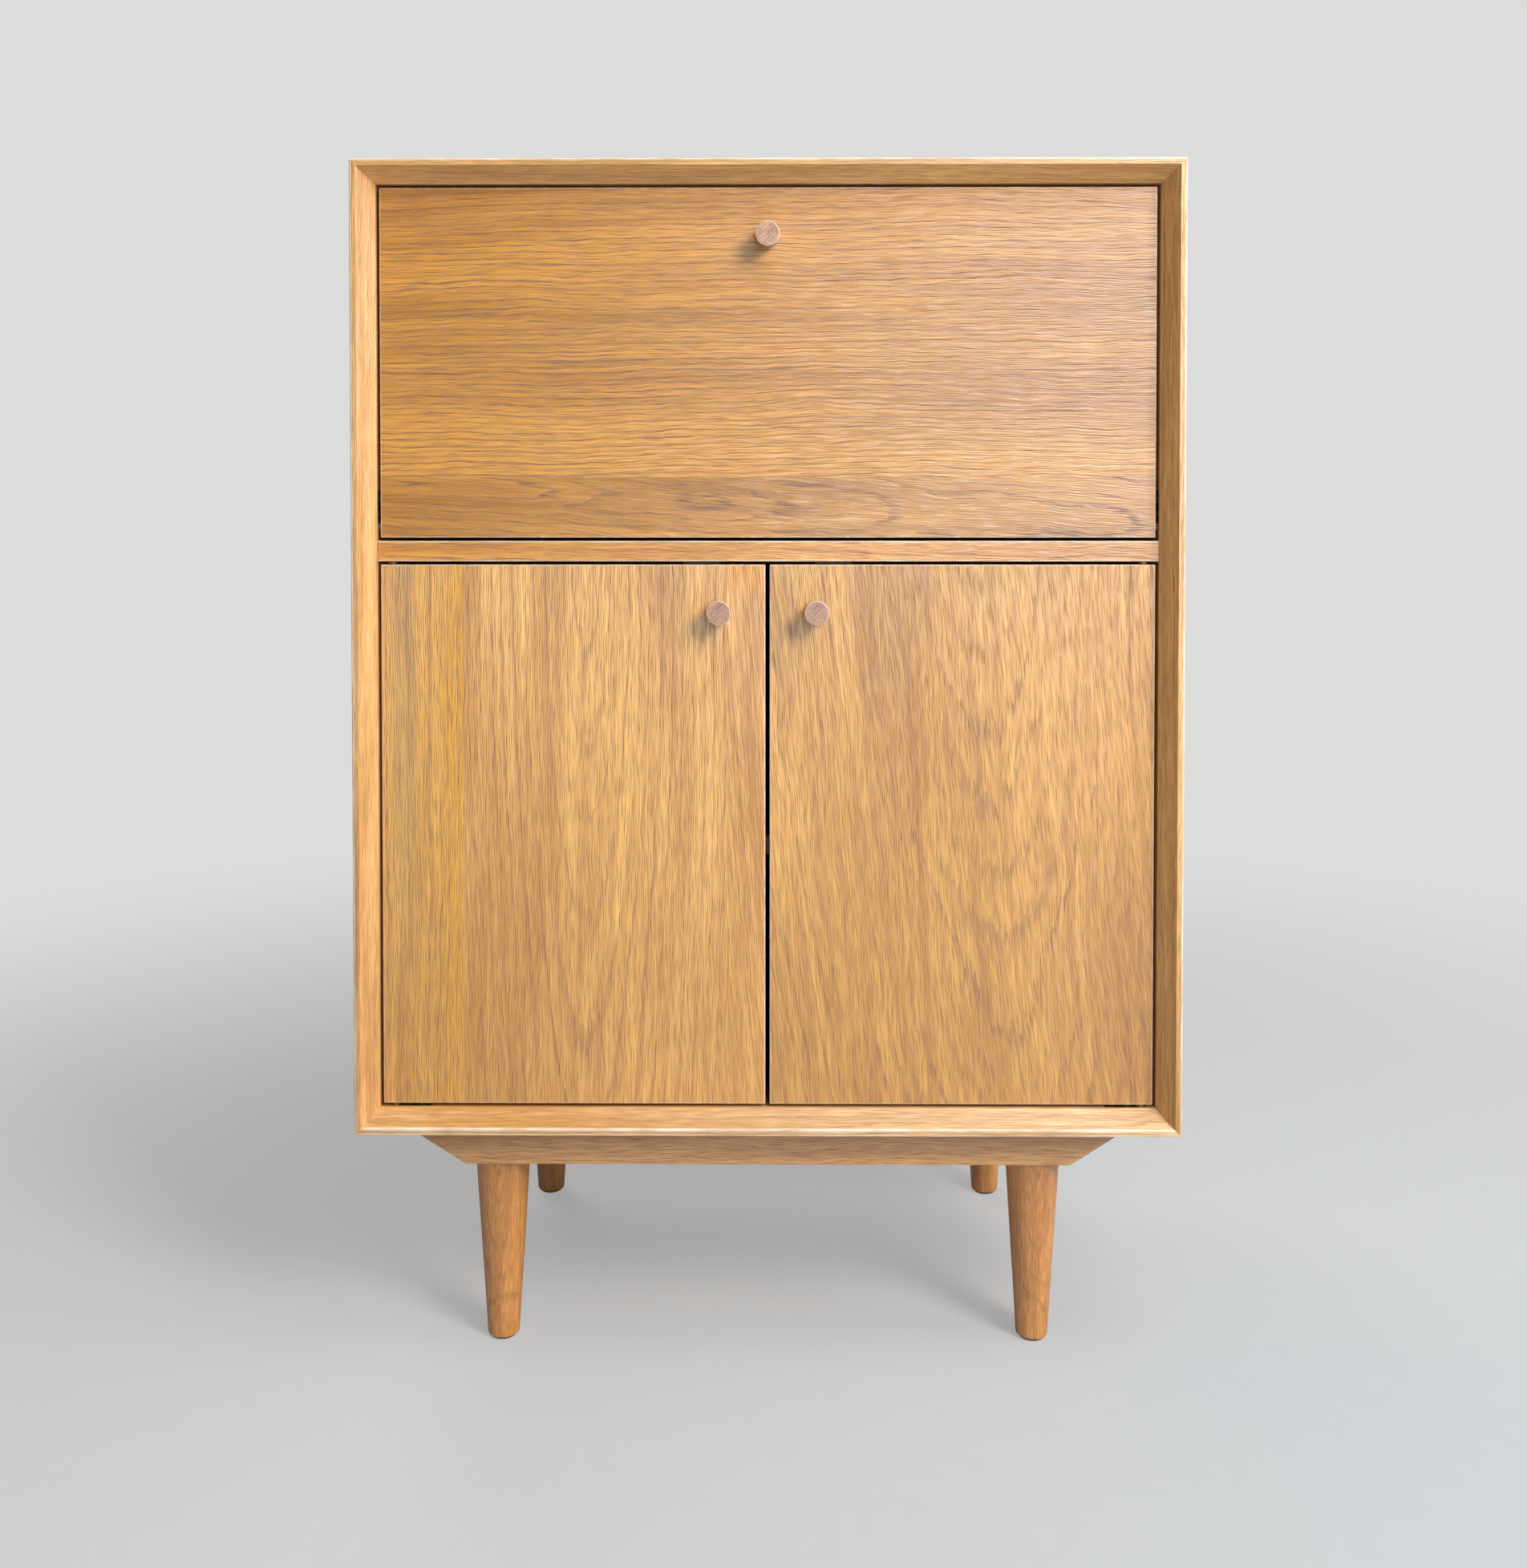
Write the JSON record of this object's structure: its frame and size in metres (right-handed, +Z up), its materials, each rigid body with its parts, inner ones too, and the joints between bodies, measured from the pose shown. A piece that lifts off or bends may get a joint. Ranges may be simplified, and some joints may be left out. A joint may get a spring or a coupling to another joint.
{
  "type": "bar cabinet",
  "caption": "Oak bar cabinet on tapered legs: bevelled case, drop-down flap on sliding stays above a pair of doors, round wooden knobs.",
  "frame": {"origin": "on the floor under the middle of the case", "axes": "+X to the right of someone who faces the front, +Y to the back, +Z up"},
  "size_m": [0.762, 0.457, 1.118],
  "materials": {
    "oak_case": "satin lacquered oak",
    "oak_inside": "satin lacquered oak",
    "oak_flap": "satin lacquered oak veneer",
    "oak_doors": "satin lacquered oak veneer",
    "oak_base": "satin lacquered oak",
    "oak_legs": "satin lacquered oak",
    "knob_wood": "oiled end grain",
    "back_veneer": "plain veneered plywood",
    "beech": "bare beech",
    "brass": "aged satin brass",
    "zinc_steel": "zinc plated",
    "magnet": "dark plated",
    "catch_plastic": "brown moulded",
    "glide": "hard nylon"
  },
  "bodies": {
    "carcass": {"top_panel": "oak_case", "bottom_panel": "oak_case", "left_side_panel": "oak_case", "right_side_panel": "oak_case", "corner_splines": "beech", "divider_shelf": "oak_case", "divider_dowels": "beech", "back_panel": "back_veneer", "back_panel_screws": "zinc_steel", "adjustable_shelf": "oak_inside", "shelf_pins": "brass", "base_front_rail": "oak_base", "base_back_rail": "oak_base", "base_left_end": "oak_base", "base_right_end": "oak_base", "base_leg_blocks": "beech", "base_fixing_screws": "zinc_steel", "front_left_leg": "oak_legs", "front_right_leg": "oak_legs", "back_left_leg": "oak_legs", "back_right_leg": "oak_legs", "leg_hanger_bolts": "zinc_steel", "leg_thread_inserts": "zinc_steel", "foot_glides": "glide", "left_door_case_plates": "brass", "right_door_case_plates": "brass", "flap_case_plates": "brass", "case_fitting_screws": "zinc_steel", "left_stay_wall_bracket": "brass", "right_stay_wall_bracket": "brass", "catch_housings": "catch_plastic", "catch_magnets": "magnet", "catch_screws": "zinc_steel"},
    "flap": {"flap_panel": "oak_flap", "flap_knob": "knob_wood", "flap_knob_screw": "zinc_steel", "flap_pivot_plates": "brass", "flap_strike_plates": "zinc_steel", "left_stay_flap_bracket": "brass", "right_stay_flap_bracket": "brass", "flap_fitting_screws": "zinc_steel"},
    "left_door": {"left_door_panel": "oak_doors", "left_door_knob": "knob_wood", "left_door_knob_screw": "zinc_steel", "left_door_pivot_plates": "brass", "left_door_strike_plate": "zinc_steel", "left_door_fitting_screws": "zinc_steel"},
    "left_stay_rod": {"left_stay_rod": "brass", "left_stay_end_stop": "brass"},
    "left_stay_guide": {"left_stay_guide": "brass"},
    "right_door": {"right_door_panel": "oak_doors", "right_door_knob": "knob_wood", "right_door_knob_screw": "zinc_steel", "right_door_pivot_plates": "brass", "right_door_strike_plate": "zinc_steel", "right_door_fitting_screws": "zinc_steel"},
    "right_stay_rod": {"right_stay_rod": "brass", "right_stay_end_stop": "brass"},
    "right_stay_guide": {"right_stay_guide": "brass"}
  },
  "joints": [
    {"name": "flap_hinge", "type": "hinge", "parent": "carcass", "child": "flap", "pos_m": [0, -0.2005, 0.783], "axis": [1, 0, 0], "range_deg": [0, 90]},
    {"name": "left_door_hinge", "type": "hinge", "parent": "carcass", "child": "left_door", "pos_m": [-0.349, -0.2005, 0.496], "axis": [0, 0, -1], "range_deg": [0, 110]},
    {"name": "left_stay_rod_pivot", "type": "hinge", "parent": "flap", "child": "left_stay_rod", "pos_m": [-0.345, -0.1805, 0.953], "axis": [1, 0, 0], "range_deg": [-45, 0]},
    {"name": "left_stay_guide_swivel", "type": "hinge", "parent": "carcass", "child": "left_stay_guide", "pos_m": [-0.345, -0.11491, 0.93124], "axis": [1, 0, 0], "range_deg": [0, 45]},
    {"name": "right_door_hinge", "type": "hinge", "parent": "carcass", "child": "right_door", "pos_m": [0.349, -0.2005, 0.496], "axis": [0, 0, 1], "range_deg": [0, 110]},
    {"name": "right_stay_rod_pivot", "type": "hinge", "parent": "flap", "child": "right_stay_rod", "pos_m": [0.345, -0.1805, 0.953], "axis": [1, 0, 0], "range_deg": [-45, 0]},
    {"name": "right_stay_guide_swivel", "type": "hinge", "parent": "carcass", "child": "right_stay_guide", "pos_m": [0.345, -0.11491, 0.93124], "axis": [1, 0, 0], "range_deg": [0, 45]}
  ],
  "couplings": [
    {"joint": "left_stay_rod_pivot", "follows": "flap_hinge", "ratio": -0.5},
    {"joint": "left_stay_guide_swivel", "follows": "flap_hinge", "ratio": 0.5},
    {"joint": "right_stay_rod_pivot", "follows": "flap_hinge", "ratio": -0.5},
    {"joint": "right_stay_guide_swivel", "follows": "flap_hinge", "ratio": 0.5}
  ]
}
